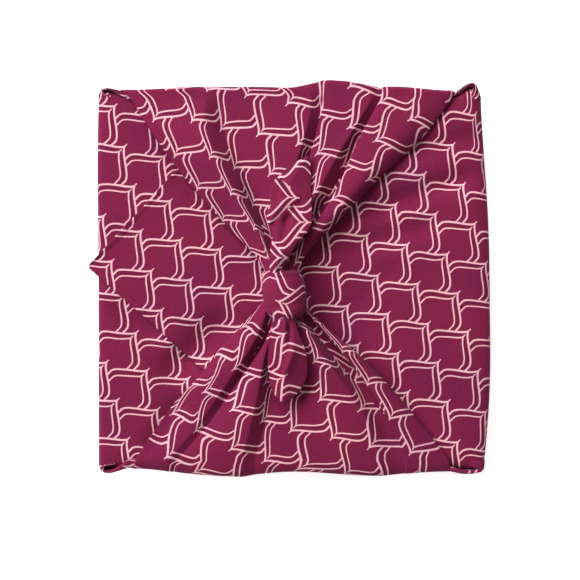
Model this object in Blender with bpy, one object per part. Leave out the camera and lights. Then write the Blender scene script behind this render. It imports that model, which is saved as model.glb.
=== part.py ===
"""A furoshiki wrap: one square of printed cotton folded round a flat square box and tied on top.

The cloth lies corner-wise. Its left corner is folded over the box first and its right corner over
that, with the tip just past the left edge. The top and bottom corners come over last, gathered in
pleats, and meet in a square knot with two free tails. The box inside isn't part of this object, so
the cloth is hollow. Metres, +Z up, +Y towards the top corner, origin under the middle of the base.
"""

import math

import bmesh
import bpy
import numpy as np

# Driving dimensions
HALF = 0.1355  # from the middle of the base to each wall
CLOTH = 0.0015  # thickness of a layer
GAP = 0.0005  # air between two layers
FIRST_LAYER_TOP = 0.066  # top of the first corner folded over
WALL_CORNER = 0.007  # rounding between two walls
FOOT = 0.004  # rounding between the base and a wall
ROLL = 0.005  # rounding where a wall turns onto the top
RIM = 0.0655  # free edges of the walls, beside the ears
PANEL = 0.0009  # how far the outer cloth of a wall stands proud
TAIL_CLOTH = 0.003  # a tail is the cloth folded double

# Layer tops, from the inside out
LAYER = CLOTH + GAP
SECOND_LAYER_TOP = FIRST_LAYER_TOP + LAYER
FAN_TOP = SECOND_LAYER_TOP + LAYER

# How finely the cloth is divided
SIDE_STEPS = 12
CORNER_STEPS = 3
ROLL_STEPS = 3
FAN_COLUMNS = 34

# How far the cloth bellies out of each wall: middle of the swell along the wall, its reach, its depth
SWELLS = {
    "right": [dict(at=-0.010, reach=0.150, depth=0.0058)],
    "top": [
        dict(at=0.028, reach=0.040, depth=0.0052),
        dict(at=-0.048, reach=0.045, depth=0.0024),
    ],
    "left": [dict(at=0.050, reach=0.140, depth=0.0016)],
    "bottom": [
        dict(at=-0.040, reach=0.050, depth=0.0030),
        dict(at=0.058, reach=0.055, depth=0.0034),
    ],
}

# The ears where two walls meet: middle of the ear along the rim from its corner, how far it leans out
EARS = (
    dict(corner=(1, 1), along=(-0.008, 0.0), out=(0.0, 0.0048), rise=0.0035),
    dict(corner=(-1, 1), along=(0.008, 0.0), out=(-0.0008, 0.0014), rise=0.0025),
    dict(corner=(-1, -1), along=(0.010, 0.0), out=(-0.0010, -0.0018), rise=0.0025),
    dict(corner=(1, -1), along=(-0.006, 0.0), out=(0.0006, -0.0010), rise=0.0020),
)
EAR_REACH = 0.020

# The two flat corners on top: where the tip lies, and how far its hems run back for each metre across
FIRST_CORNER = dict(tip=(0.1180, 0.0), hem_up=1.0, hem_down=1.0)
SECOND_CORNER = dict(tip=(-0.1429, 0.0096), hem_up=1.14, hem_down=0.944)
FLAP_HALF = 0.1300  # half width of a flat corner under the gathered ones
FLAP_HALF_AT_EARS = 0.1325
EARS_FROM = 0.1175  # distance from the middle at which the flat corner widens
TIP_HALF = 0.0010  # the tip is turned under, so it is blunt

# Each gathered corner in sections from the box's edge to the knot: distance out from the middle, its
# left and right edges, and how high its left edge, middle and right edge rise off the box
TOP_SECTIONS = (
    dict(out=0.1290, left=-0.1130, right=0.1145, lifts=(0.0004, 0.0008, 0.0004)),
    dict(out=0.1056, left=-0.1003, right=0.0982, lifts=(0.0006, 0.0010, 0.0006)),
    dict(out=0.0900, left=-0.0890, right=0.0844, lifts=(0.0008, 0.0010, 0.0008)),
    dict(out=0.0709, left=-0.0741, right=0.0620, lifts=(0.0008, 0.0014, 0.0016)),
    dict(out=0.0560, left=-0.0620, right=0.0479, lifts=(0.0008, 0.0024, 0.0030)),
    dict(out=0.0369, left=-0.0443, right=0.0301, lifts=(0.0014, 0.0052, 0.0060)),
    dict(out=0.0248, left=-0.0323, right=0.0165, lifts=(0.0034, 0.0080, 0.0084)),
    dict(out=0.0140, left=-0.0210, right=0.0090, lifts=(0.0080, 0.0104, 0.0096)),
    dict(out=0.0020, left=-0.0140, right=0.0050, lifts=(0.0100, 0.0112, 0.0100)),
)
BOTTOM_SECTIONS = (
    dict(out=0.1290, left=-0.1120, right=0.1140, lifts=(0.0004, 0.0008, 0.0004)),
    dict(out=0.1163, left=-0.1039, right=0.1039, lifts=(0.0006, 0.0010, 0.0006)),
    dict(out=0.1021, left=-0.0928, right=0.0925, lifts=(0.0008, 0.0012, 0.0008)),
    dict(out=0.0844, left=-0.0800, right=0.0776, lifts=(0.0012, 0.0016, 0.0008)),
    dict(out=0.0674, left=-0.0640, right=0.0610, lifts=(0.0018, 0.0026, 0.0012)),
    dict(out=0.0468, left=-0.0490, right=0.0401, lifts=(0.0044, 0.0056, 0.0030)),
    dict(out=0.0340, left=-0.0350, right=0.0209, lifts=(0.0082, 0.0086, 0.0068)),
    dict(out=0.0227, left=-0.0180, right=0.0090, lifts=(0.0100, 0.0104, 0.0096)),
    dict(out=0.0140, left=-0.0130, right=0.0040, lifts=(0.0104, 0.0112, 0.0100)),
)

# Pleats: place across the corner (0 left edge to 1 right edge) at the box's edge and at the knot, how
# far along it starts (0 box's edge, 1 knot), height, and reach to its left and right
TOP_PLEATS = (
    dict(outer=0.19, inner=0.27, start=0.06, height=0.0064, left=0.16, right=0.06),
    dict(outer=0.62, inner=0.55, start=-0.10, height=0.0042, left=0.05, right=0.14),
    dict(outer=0.80, inner=0.71, start=-0.06, height=0.0052, left=0.05, right=0.18),
)
BOTTOM_PLEATS = (
    dict(outer=0.12, inner=0.24, start=0.04, height=0.0066, left=0.12, right=0.12),
    dict(outer=0.33, inner=0.44, start=0.10, height=0.0050, left=0.08, right=0.07),
    dict(outer=0.66, inner=0.70, start=0.24, height=0.0050, left=0.09, right=0.07),
    dict(outer=0.86, inner=0.93, start=0.02, height=0.0046, left=0.08, right=0.06),
)
STEEPEST = 1.2  # rise over run of a pleat's side
TURNED_EDGE = 0.011  # a gathered corner's sides are folds: this much cloth lies turned under

# The knot: a core along Y that both gathered corners run into, and the band that crosses over it
KNOT_CENTRE = (-0.0043, -0.0108, 0.0835)
CORE_RADII = (0.0118, 0.0185, 0.0088)
BAND_LOOP = (0.0124, 0.0098)  # radii of the band's middle line round the core, across and up
BAND_HALF_WIDTH = 0.0110
BAND_HALF_THICKNESS = 0.0026
BAND_TURN = math.radians(-16)  # the band crosses at this slant
BAND_SLACK = 0.16  # how much wider the band is on the left than on the right

# Each tail in sections from the knot outwards: Y, its left and right edges, height of its underside
# over the base, and how far its middle is raised
UPPER_TAIL = (
    dict(y=0.0000, left=-0.0120, right=-0.0010, z=0.0880, crown=0.0010),
    dict(y=0.0120, left=-0.0136, right=-0.0020, z=0.0905, crown=0.0020),
    dict(y=0.0215, left=-0.0140, right=0.0012, z=0.0895, crown=0.0024),
    dict(y=0.0320, left=-0.0120, right=0.0105, z=0.0865, crown=0.0026),
    dict(y=0.0440, left=-0.0160, right=0.0150, z=0.0835, crown=0.0026),
    dict(y=0.0560, left=-0.0140, right=0.0152, z=0.0810, crown=0.0024),
    dict(y=0.0680, left=-0.0140, right=0.0148, z=0.0795, crown=0.0020),
    dict(y=0.0780, left=-0.0030, right=0.0142, z=0.0785, crown=0.0012),
    dict(y=0.0870, left=0.0110, right=0.0134, z=0.0780, crown=0.0002),
)
LOWER_TAIL = (
    dict(y=-0.0215, left=-0.0090, right=0.0005, z=0.0870, crown=0.0010),
    dict(y=-0.0300, left=-0.0120, right=0.0032, z=0.0895, crown=0.0022),
    dict(y=-0.0400, left=-0.0150, right=0.0070, z=0.0880, crown=0.0030),
    dict(y=-0.0510, left=-0.0162, right=0.0112, z=0.0850, crown=0.0034),
    dict(y=-0.0620, left=-0.0162, right=0.0119, z=0.0825, crown=0.0030),
    dict(y=-0.0720, left=-0.0146, right=0.0108, z=0.0805, crown=0.0024),
    dict(y=-0.0800, left=-0.0112, right=0.0056, z=0.0795, crown=0.0012),
    dict(y=-0.0865, left=-0.0046, right=-0.0016, z=0.0790, crown=0.0002),
)
TAIL_COLUMNS = 8


def clear_scene():
    for old in list(bpy.data.objects):
        bpy.data.objects.remove(old, do_unlink=True)


def cotton():
    material = bpy.data.materials.new("burgundy_cotton")
    material.use_nodes = True
    shader = material.node_tree.nodes["Principled BSDF"]
    shader.inputs["Base Color"].default_value = (0.262, 0.023, 0.098, 1.0)
    shader.inputs["Roughness"].default_value = 0.85
    shader.inputs["Metallic"].default_value = 0.0
    return material


def ease(x):
    """0 to 1 with no slope at either end."""
    x = np.clip(x, 0.0, 1.0)
    return x * x * (3.0 - 2.0 * x)


def hill(distance, reach):
    """1 at no distance, falling smoothly to 0 at the reach."""
    return 1.0 - ease(abs(distance) / reach)


def column(table, name):
    return [row[name] for row in table]


def swell(side, along, z):
    """How far the cloth bellies out of a wall here; it is tight at the foot."""
    depth = sum(row["depth"] * hill(along - row["at"], row["reach"]) for row in SWELLS[side])
    return depth * ease(z / FIRST_LAYER_TOP)


def perimeter():
    """The walls' outline, anticlockwise from the right wall's lower end: x, y, outward x and y, side."""
    straight = HALF - WALL_CORNER
    sides = (("right", 0), ("top", 1), ("left", 2), ("bottom", 3))
    points = []
    for side, quarter in sides:
        turn = quarter * math.pi / 2
        outward = (math.cos(turn), math.sin(turn))
        ahead = (-outward[1], outward[0])
        for step in range(SIDE_STEPS + 1):
            along = straight * (2 * step / SIDE_STEPS - 1)
            x = HALF * outward[0] + along * ahead[0]
            y = HALF * outward[1] + along * ahead[1]
            points.append((x, y, outward[0], outward[1], side))
        for step in range(1, CORNER_STEPS + 1):
            angle = turn + step / (CORNER_STEPS + 1) * math.pi / 2
            normal = (math.cos(angle), math.sin(angle))
            x = straight * (outward[0] + ahead[0]) + WALL_CORNER * normal[0]
            y = straight * (outward[1] + ahead[1]) + WALL_CORNER * normal[1]
            points.append((x, y, normal[0], normal[1], None))
    return points


def ear_offset(x, y, z):
    """How an ear pushes the rim near a corner out and up."""
    total = np.zeros(3)
    for ear in EARS:
        middle_x = ear["corner"][0] * HALF + ear["along"][0]
        middle_y = ear["corner"][1] * HALF + ear["along"][1]
        share = hill(math.hypot(x - middle_x, y - middle_y), EAR_REACH) * ease(z / RIM) ** 3
        total += share * np.array((ear["out"][0], ear["out"][1], ear["rise"]))
    return total


def wall_point(point, height):
    x, y, out_x, out_y, side = point
    along = y if side in ("right", "left") else x
    bulge = swell(side, along, height) if side in ("right", "left") else 0.0
    x, y = x + bulge * out_x, y + bulge * out_y
    return np.array((x, y, height)) + ear_offset(x, y, height)


def corner_flap_rows(corner, side, layer_top, wall_columns, stations):
    """Rows of a flat corner, from the roll at its wall to its tip. Columns run as the wall's do."""
    sign = 1 if side == "right" else -1
    rows = []
    for step in range(1, ROLL_STEPS + 1):
        angle = step / ROLL_STEPS * math.pi / 2
        row = []
        for point in wall_columns:
            foot = wall_point(point, layer_top - ROLL)
            inward = ROLL * (1 - math.cos(angle)) * sign
            row.append((foot[0] - inward, foot[1], layer_top - ROLL + ROLL * math.sin(angle)))
        rows.append(row)
    tip_x, tip_y = corner["tip"]
    for share in stations:
        start = sign * (HALF - ROLL)
        x = start + (tip_x - start) * share
        widest = FLAP_HALF_AT_EARS if abs(x) > EARS_FROM else FLAP_HALF
        from_tip = abs(tip_x - x)
        top = min(widest, tip_y + TIP_HALF + corner["hem_up"] * from_tip)
        low = max(-widest, tip_y - TIP_HALF - corner["hem_down"] * from_tip)
        first, last = (low, top) if side == "right" else (top, low)
        row = [(x, y, layer_top) for y in np.linspace(first, last, len(wall_columns))]
        rows.append(row)
    return rows


def wrapped_body():
    """The base, the four walls and the two flat corners, as one sheet seen from outside."""
    outline = perimeter()
    bm = bmesh.new()
    rings = []
    for share in (0.30, 0.65):
        flat = [((HALF - FOOT) / HALF * share * x, (HALF - FOOT) / HALF * share * y, 0.0)
                for x, y, *_ in outline]
        rings.append(flat)
    for step in range(ROLL_STEPS + 1):
        angle = step / ROLL_STEPS * math.pi / 2
        inset = FOOT * (1 - math.sin(angle))
        height = FOOT * (1 - math.cos(angle))
        rings.append([(x - inset * out_x, y - inset * out_y, height)
                      for x, y, out_x, out_y, _ in outline])
    for height in (0.024, 0.044, FIRST_LAYER_TOP - ROLL):
        rings.append([wall_point(point, height) for point in outline])
    grid = [[bm.verts.new(p) for p in ring] for ring in rings]
    count = len(outline)
    for lower, upper in zip(grid, grid[1:]):
        for k in range(count):
            after = (k + 1) % count
            bm.faces.new((lower[k], lower[after], upper[after], upper[k]))
    bm.faces.new(grid[0][::-1])

    step = SIDE_STEPS + 1 + CORNER_STEPS
    right = range(0, SIDE_STEPS + 1)
    left = range(2 * step, 2 * step + SIDE_STEPS + 1)
    rim = {k: bm.verts.new(wall_point(outline[k], RIM))
           for k in range(count) if k not in right and k not in left}
    for k in rim:
        if k + 1 in rim:
            bm.faces.new((grid[-1][k], grid[-1][k + 1], rim[k + 1], rim[k]))

    for columns, corner, side, top, stations in (
        (left, FIRST_CORNER, "left", FIRST_LAYER_TOP, (0.03, 0.08, 0.35, 0.6, 0.8, 1.0)),
        (right, SECOND_CORNER, "right", SECOND_LAYER_TOP,
         (0.03, 0.08, 0.25, 0.42, 0.52, 0.60, 0.70, 0.80, 0.90, 1.0)),
    ):
        wall_columns = [outline[k] for k in columns]
        below = [grid[-1][k] for k in columns]
        for row in corner_flap_rows(corner, side, top, wall_columns, stations):
            above = [bm.verts.new(p) for p in row]
            for a, b, c, d in zip(below, below[1:], above[1:], above):
                bm.faces.new((a, b, c, d))
            below = above
    return bm


def pleat_height(pleats, across, along, width):
    """Sum of the pleats here, each no steeper than the cloth lets it be."""
    total = 0.0
    for pleat in pleats:
        middle = pleat["outer"] + (pleat["inner"] - pleat["outer"]) * along
        reach = pleat["left"] if across < middle else pleat["right"]
        growth = ease((along - pleat["start"]) / 0.55)
        steep_side = min(pleat["left"], pleat["right"]) * width
        height = min(pleat["height"] * growth, STEEPEST * steep_side)
        total += height * hill(across - middle, reach)
    return total


def gathered_corner(side, sections, pleats):
    """One of the tied corners: up its wall, over the box's edge and on to the knot."""
    sign = 1 if side == "top" else -1
    first = sections[0]
    shares = np.linspace(0.0, 1.0, FAN_COLUMNS + 1)
    rows = []
    inward = []
    foot_half = HALF - WALL_CORNER
    turn_height = FAN_TOP - ROLL
    for height in (0.0035, 0.0240, 0.0450, turn_height):
        rise = (height - 0.0035) / (turn_height - 0.0035)
        left = -foot_half + (first["left"] + foot_half) * rise
        right = foot_half + (first["right"] - foot_half) * rise
        row = []
        for share in shares:
            x = left + (right - left) * share
            row.append((x, sign * (HALF + PANEL + swell(side, x, height)), height))
        rows.append(row)
        inward.append([(0.0, -sign * CLOTH, 0.0)] * len(row))
    for step in range(1, ROLL_STEPS + 1):
        angle = step / ROLL_STEPS * math.pi / 2
        row = []
        for share in shares:
            x = first["left"] + (first["right"] - first["left"]) * share
            out = HALF + PANEL + swell(side, x, turn_height) - ROLL * (1 - math.cos(angle))
            row.append((x, sign * out, turn_height + ROLL * math.sin(angle)))
        rows.append(row)
        inward.append([(0.0, -sign * CLOTH * math.cos(angle), -CLOTH * math.sin(angle))] * len(row))
    outs = column(sections, "out")
    for out in fan_stations(outs):
        left, right = (np.interp(-out, [-o for o in outs], column(sections, name))
                       for name in ("left", "right"))
        lifts = [np.interp(-out, [-o for o in outs], [row["lifts"][k] for row in sections])
                 for k in range(3)]
        along = (outs[0] - out) / (outs[0] - outs[-1])
        row = []
        under = []
        for share in shares:
            x = left + (right - left) * share
            bend = 2 * share - 1
            lift = lifts[1] + bend * (lifts[2] - lifts[0]) / 2
            lift += bend * bend * ((lifts[0] + lifts[2]) / 2 - lifts[1])
            lift += pleat_height(pleats, share, along, right - left)
            turned = CLOTH * hill(min(x - left, right - x), TURNED_EDGE) * ease(along / 0.05)
            row.append((x, sign * out, FAN_TOP + lift + turned))
            under.append((0.0, 0.0, -CLOTH - turned))
        rows.append(row)
        inward.append(under)
    if side == "top":
        rows, inward = [row[::-1] for row in rows], [row[::-1] for row in inward]
    return sheet(rows, inward)


def fan_stations(outs):
    """The rows' distances from the middle: each section and one row half-way to the next."""
    stations = []
    for far, near in zip(outs, outs[1:]):
        stations += [far, (far + near) / 2]
    return stations + [outs[-1]]


def tail(sections):
    """A free end: a flattened leaf with its middle raised."""
    rows = []
    for section in sections:
        row = []
        for share in np.linspace(0.0, 1.0, TAIL_COLUMNS + 1):
            x = section["left"] + (section["right"] - section["left"]) * share
            crown = section["crown"] * math.sin(math.pi * share)
            row.append((x, section["y"], section["z"] + TAIL_CLOTH + crown))
        rows.append(row)
    if sections[0]["y"] > sections[-1]["y"]:
        rows = rows[::-1]
    under = [[(0.0, 0.0, -TAIL_CLOTH)] * len(row) for row in rows]
    return sheet(rows, under)


def sheet(rows, inward):
    """A closed sheet: rows of points on its outer face, and the way from each to the inner face."""
    bm = bmesh.new()
    outer = [[bm.verts.new(p) for p in row] for row in rows]
    inner = [[bm.verts.new(np.add(p, way)) for p, way in zip(row, ways)]
             for row, ways in zip(rows, inward)]
    for near, far in zip(range(len(rows)), range(1, len(rows))):
        for left, right in zip(range(len(rows[0])), range(1, len(rows[0]))):
            bm.faces.new((outer[near][left], outer[near][right], outer[far][right], outer[far][left]))
            bm.faces.new((inner[near][left], inner[far][left], inner[far][right], inner[near][right]))
    edge = [(0, k) for k in range(len(rows[0]))]
    edge += [(k, -1) for k in range(1, len(rows))]
    edge += [(-1, k) for k in range(len(rows[0]) - 2, -1, -1)]
    edge += [(k, 0) for k in range(len(rows) - 2, 0, -1)]
    for (row, col), (next_row, next_col) in zip(edge, edge[1:] + edge[:1]):
        bm.faces.new((outer[next_row][next_col], outer[row][col], inner[row][col],
                      inner[next_row][next_col]))
    return bm


def band():
    """The cloth that crosses over the knot, a closed loop round the core with a flat oval section."""
    bm = bmesh.new()
    loops = []
    steps, sides = 24, 10
    for i in range(steps):
        angle = 2 * math.pi * i / steps
        half_width = BAND_HALF_WIDTH * (1 - BAND_SLACK * math.cos(angle))
        loop = []
        for j in range(sides):
            turn = 2 * math.pi * j / sides
            out = BAND_HALF_THICKNESS * math.cos(turn)
            x = (BAND_LOOP[0] + out) * math.cos(angle)
            z = (BAND_LOOP[1] + out) * math.sin(angle)
            y = half_width * math.sin(turn)
            loop.append((x, y, z))
        loops.append(loop)
    slant = math.sin(BAND_TURN), math.cos(BAND_TURN)
    verts = []
    for loop in loops:
        turned = []
        for x, y, z in loop:
            turned.append(bm.verts.new((
                KNOT_CENTRE[0] + x * slant[1] + y * slant[0],
                KNOT_CENTRE[1] + y * slant[1] - x * slant[0],
                KNOT_CENTRE[2] + z,
            )))
        verts.append(turned)
    for i in range(steps):
        here, after = verts[i], verts[(i + 1) % steps]
        for j in range(sides):
            k = (j + 1) % sides
            bm.faces.new((here[j], here[k], after[k], after[j]))
    bmesh.ops.recalc_face_normals(bm, faces=bm.faces)
    return bm


def core():
    bm = bmesh.new()
    bmesh.ops.create_icosphere(bm, subdivisions=3, radius=1.0)
    bmesh.ops.scale(bm, vec=CORE_RADII, verts=bm.verts)
    bmesh.ops.translate(bm, vec=KNOT_CENTRE, verts=bm.verts)
    return bm


def place(name, bm, material, thickness=None):
    mesh = bpy.data.meshes.new(name)
    bm.to_mesh(mesh)
    bm.free()
    mesh.materials.append(material)
    made = bpy.data.objects.new(name, mesh)
    bpy.context.scene.collection.objects.link(made)
    if thickness:
        solid = made.modifiers.new("cloth_thickness", "SOLIDIFY")
        solid.thickness = thickness
        solid.offset = -1.0
        solid.use_even_offset = True
    return made


def build():
    clear_scene()
    cloth = cotton()
    wrap = place("furoshiki_cloth", wrapped_body(), cloth, CLOTH)
    joined = (
        place("top_corner", gathered_corner("top", TOP_SECTIONS, TOP_PLEATS), cloth),
        place("bottom_corner", gathered_corner("bottom", BOTTOM_SECTIONS, BOTTOM_PLEATS), cloth),
        place("knot_core", core(), cloth),
        place("knot_band", band(), cloth),
        place("upper_tail", tail(UPPER_TAIL), cloth),
        place("lower_tail", tail(LOWER_TAIL), cloth),
    )
    for piece in joined:
        union = wrap.modifiers.new("join_" + piece.name, "BOOLEAN")
        union.operation = "UNION"
        union.solver = "EXACT"
        union.object = piece
        piece.hide_render = True
        piece.display_type = "WIRE"
    wrap.data.shade_smooth()
    wrap.data.set_sharp_from_angle(angle=math.radians(50))


build()
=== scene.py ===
import math

import bpy
import numpy as np
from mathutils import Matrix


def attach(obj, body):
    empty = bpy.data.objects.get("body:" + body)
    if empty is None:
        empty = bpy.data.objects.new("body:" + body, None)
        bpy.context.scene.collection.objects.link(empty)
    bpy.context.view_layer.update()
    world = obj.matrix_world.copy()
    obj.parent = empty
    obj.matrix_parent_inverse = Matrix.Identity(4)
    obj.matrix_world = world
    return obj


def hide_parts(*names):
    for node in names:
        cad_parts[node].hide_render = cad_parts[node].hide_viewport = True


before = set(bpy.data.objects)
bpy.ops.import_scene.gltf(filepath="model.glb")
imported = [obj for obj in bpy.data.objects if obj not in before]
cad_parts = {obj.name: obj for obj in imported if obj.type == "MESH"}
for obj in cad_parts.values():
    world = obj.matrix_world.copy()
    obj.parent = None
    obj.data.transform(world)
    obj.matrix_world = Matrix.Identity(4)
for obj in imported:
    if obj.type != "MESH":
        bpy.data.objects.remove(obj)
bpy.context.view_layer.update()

# The two flat corners of one square of printed cotton, 0.70 m a side, about 0.3 mm thick and laid
# corner-wise. The left one is folded over first and the right one over that, its tip just past the
# left edge. Each part of the cloth is a sheet of points that keep their place on the flat cloth.
MM = 0.001
HALF = 135.5  # middle of the base to each wall, mm
STARTS_IN = 9.0  # a side wall's cloth starts so far in, under the base
FOOT_IN = 7.0  # and its foot ends so far from the upright corners
FIRST_TOP = 66.0  # the first flat corner lies at this height
SECOND_TOP = 66.9  # the second lies on it
CREASED_FROM = 60.0  # only cloth above this height is creased


def ease(x):
    x = np.clip(x, 0.0, 1.0)
    return x * x * (3.0 - 2.0 * x)


def between(a, b, share):
    return a + (b - a) * share


def hill(distance, reach):
    return 1.0 - ease(np.abs(distance) / reach)


def soft_line(points, steps):
    """A cubic B-spline along the first axis, through its first and last control points."""
    points = np.asarray(points, float)
    ends = (2 * points[0] - points[1], 2 * points[-1] - points[-2])
    held = np.concatenate((ends[0][None], points, ends[1][None]))
    t = np.linspace(0.0, 1.0, steps, endpoint=False).reshape((-1,) + (1,) * (points.ndim - 1))
    weights = ((1 - t) ** 3, 3 * t ** 3 - 6 * t ** 2 + 4, -3 * t ** 3 + 3 * t ** 2 + 3 * t + 1, t ** 3)
    line = [sum(w * held[k + i] for i, w in enumerate(weights)) / 6 for k in range(len(points) - 1)]
    return np.concatenate(line + [points[-1][None]])


def soft_sheet(controls, row_steps, column_steps):
    across = soft_line(np.swapaxes(np.asarray(controls, float), 0, 1), column_steps)
    return soft_line(np.swapaxes(across, 0, 1), row_steps)


def run_along(place, axis):
    """How far each point lies along the sheet from the first, in rows (0) or in columns (1)."""
    pieces = np.linalg.norm(np.diff(place, axis=axis), axis=2)
    start = np.zeros_like(np.take(place[..., 0], [0], axis=axis))
    return np.concatenate((start, np.cumsum(pieces, axis=axis)), axis=axis)


cloth_parts = []


def lay_cloth(name, place, flat):
    """One part of the cloth, from its points in place and on the flat cloth, both in mm."""
    rows, columns = place.shape[:2]
    bpy.ops.object.select_all(action="DESELECT")
    bpy.ops.mesh.primitive_grid_add(x_subdivisions=columns - 1, y_subdivisions=rows - 1, size=1.0)
    part = bpy.context.object
    part.name = name
    mesh = part.data
    mesh.vertices.foreach_set("co", (place * MM).reshape(-1))
    while mesh.uv_layers:
        mesh.uv_layers.remove(mesh.uv_layers[0])
    mesh.uv_layers.new(name="cloth")
    corner = np.empty(len(mesh.loops), int)
    mesh.loops.foreach_get("vertex_index", corner)
    mesh.uv_layers["cloth"].data.foreach_set("uv", (flat.reshape(-1, 2) * MM)[corner].reshape(-1))
    mesh.update()
    cloth_parts.append(part)


# How far the cloth bellies out of each wall, tight at the foot: middle of the swell, reach, depth
SWELLS = {
    "right": (dict(at=-10, reach=150, depth=6.6), dict(at=-92, reach=95, depth=3.4),
              dict(at=60, reach=90, depth=1.2)),
    "top": (dict(at=30, reach=36, depth=5.4), dict(at=-48, reach=45, depth=0.6),
            dict(at=-104, reach=44, depth=-1.7), dict(at=0, reach=20, depth=-1.4),
            dict(at=104, reach=30, depth=-2.6)),
    "left": (dict(at=0, reach=500, depth=1.5), dict(at=80, reach=70, depth=0.9)),
    "bottom": (dict(at=-40, reach=50, depth=2.4), dict(at=58, reach=55, depth=2.4),
               dict(at=-106, reach=30, depth=-2.6), dict(at=4, reach=36, depth=-1.4),
               dict(at=98, reach=32, depth=-0.8)),
}


def swell(side, along, height):
    depth = sum(row["depth"] * hill(along - row["at"], row["reach"]) for row in SWELLS[side])
    return depth * ease(height / FIRST_TOP)


# Soft creases pressed into the top: both ends, how wide, how deep (a ridge is negative)
CREASES = (
    dict(start=(-117, -30), end=(-92, -40), width=5, depth=1.0),
    dict(start=(-92, -40), end=(-82, -22), width=4, depth=0.8),
    dict(start=(-133, -14), end=(-88, -48), width=5, depth=3.0),
    dict(start=(-34, -20), end=(-96, -76), width=11, depth=7.0),
    dict(start=(-70, -78), end=(-106, -128), width=8, depth=3.6),
    dict(start=(-104, 108), end=(-28, 18), width=6, depth=4.0),
    dict(start=(146, 104), end=(68, 88), width=7, depth=3.4),
    dict(start=(144, 80), end=(42, 42), width=8, depth=5.0),
    dict(start=(118, 46), end=(34, 18), width=8, depth=4.2),
    dict(start=(82, 18), end=(36, -27), width=5, depth=1.9),
    dict(start=(-27, 136), end=(-22, 98), width=4, depth=1.2),
    dict(start=(81, 138), end=(75, 108), width=4, depth=1.0),
    dict(start=(70, -34), end=(126, -50), width=10, depth=0.9),
    dict(start=(96, -70), end=(120, -104), width=9, depth=0.8),
    dict(start=(-126, 76), end=(-98, 50), width=7, depth=1.0),
    dict(start=(-60, 8), end=(-24, 2), width=7, depth=1.2),
    dict(start=(24, -62), end=(24, 62), width=36, depth=3.6),
    dict(start=(-2, -10), end=(62, -84), width=4.4, depth=4.0),
)


def press_creases(place, creases=CREASES):
    x, y = place[..., 0], place[..., 1]
    on_top = ease((place[..., 2] - CREASED_FROM) / 5.0)
    for row in creases:
        start, end = np.array(row["start"], float), np.array(row["end"], float)
        way = end - start
        length = np.hypot(*way)
        way /= length
        along = (x - start[0]) * way[0] + (y - start[1]) * way[1]
        off = -(x - start[0]) * way[1] + (y - start[1]) * way[0]
        ends = ease(along / (0.3 * length)) * ease((length - along) / (0.3 * length))
        place[..., 2] -= row["depth"] * np.exp(-(off / row["width"]) ** 2) * ends * on_top
    place[..., 2] += on_top * 0.16 * (np.sin(x / 13.0 + y / 29.0) + np.sin(y / 17.0 - x / 41.0 + 1.3))
    return place


# Each flat corner goes up its wall, turns over the edge and narrows to its tip, and its side edges
# are turned down out of sight under the gathered corners. "print_moved" is how far the cloth is
# pulled out of the square with the box, in and across the print's rows. "corner_up" and
# "corner_down" are half its width 9, 4.6 and 0.8 mm from its wall, where it "widens" to them beyond
# the gathered corners, "roll" is how far its edge over the wall is rolled, and "sinks" how far it
# lies below the other further in.
FLAT_CORNERS = (
    dict(name="left", sign=-1, sinks=1.6, top=FIRST_TOP, tip=(118.0, 0.0), hem_up=1.0, hem_down=1.0,
         corner_up=(133.0, 133.2, 132.0), corner_down=(132.4, 132.6, 131.6), widens=(112.0, 108.0),
         roll=(2.0, 0.8, 0.2),
         print_moved=(dict(at=(-115, 60), across=13.2, up=7.0), dict(at=(-112, -35), across=13.2, up=7.2),
                      dict(at=(-122, -85), across=13.2, up=11.4), dict(at=(-74, -76), across=14.8, up=14.6),
                      dict(at=(-92, -100), across=16.0, up=15.5))),
    dict(name="right", sign=1, sinks=0.0, top=SECOND_TOP, tip=(-142.9, 9.6), hem_up=1.14, hem_down=0.944,
         corner_up=(136.2, 135.2, 130.0), corner_down=(133.6, 133.3, 131.0), widens=(114.0, 104.0),
         roll=(5.5, 3.0, 0.9),
         print_moved=(dict(at=(108, 90), across=1.2, up=-15.6), dict(at=(85, 28), across=-1.4, up=-12.0),
                      dict(at=(43, -17), across=-2.3, up=-11.6), dict(at=(100, -60), across=-0.4, up=-9.8),
                      dict(at=(-39, -8), across=-5.9, up=-16.8), dict(at=(-75, 28), across=-7.7, up=-21.8),
                      dict(at=(-92, -5), across=-10.8, up=-18.4))),
)
SIDE_TURNED = 9.0  # its side edges are turned down so far
UNDER_WIDTH = 129.5  # half the width of a flat corner where the gathered ones hide its sides


def turned_print(flat, across, up):
    """The flat places moved along and across the print's rows by so many mm."""
    return np.stack((flat[..., 0] - (across - up) / math.sqrt(2),
                     flat[..., 1] - (across + up) / math.sqrt(2)), axis=2)


def pulled(place, table, reach=38.0):
    """How far the print is moved at each place, from a few places where it is known."""
    total = across = up = 0.0
    for row in table:
        from_row = np.hypot(place[..., 0] - row["at"][0], place[..., 1] - row["at"][1])
        weight = np.exp(-0.5 * (from_row / reach) ** 2) + 1e-9
        total, across, up = total + weight, across + weight * row["across"], up + weight * row["up"]
    return across / total, up / total


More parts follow.
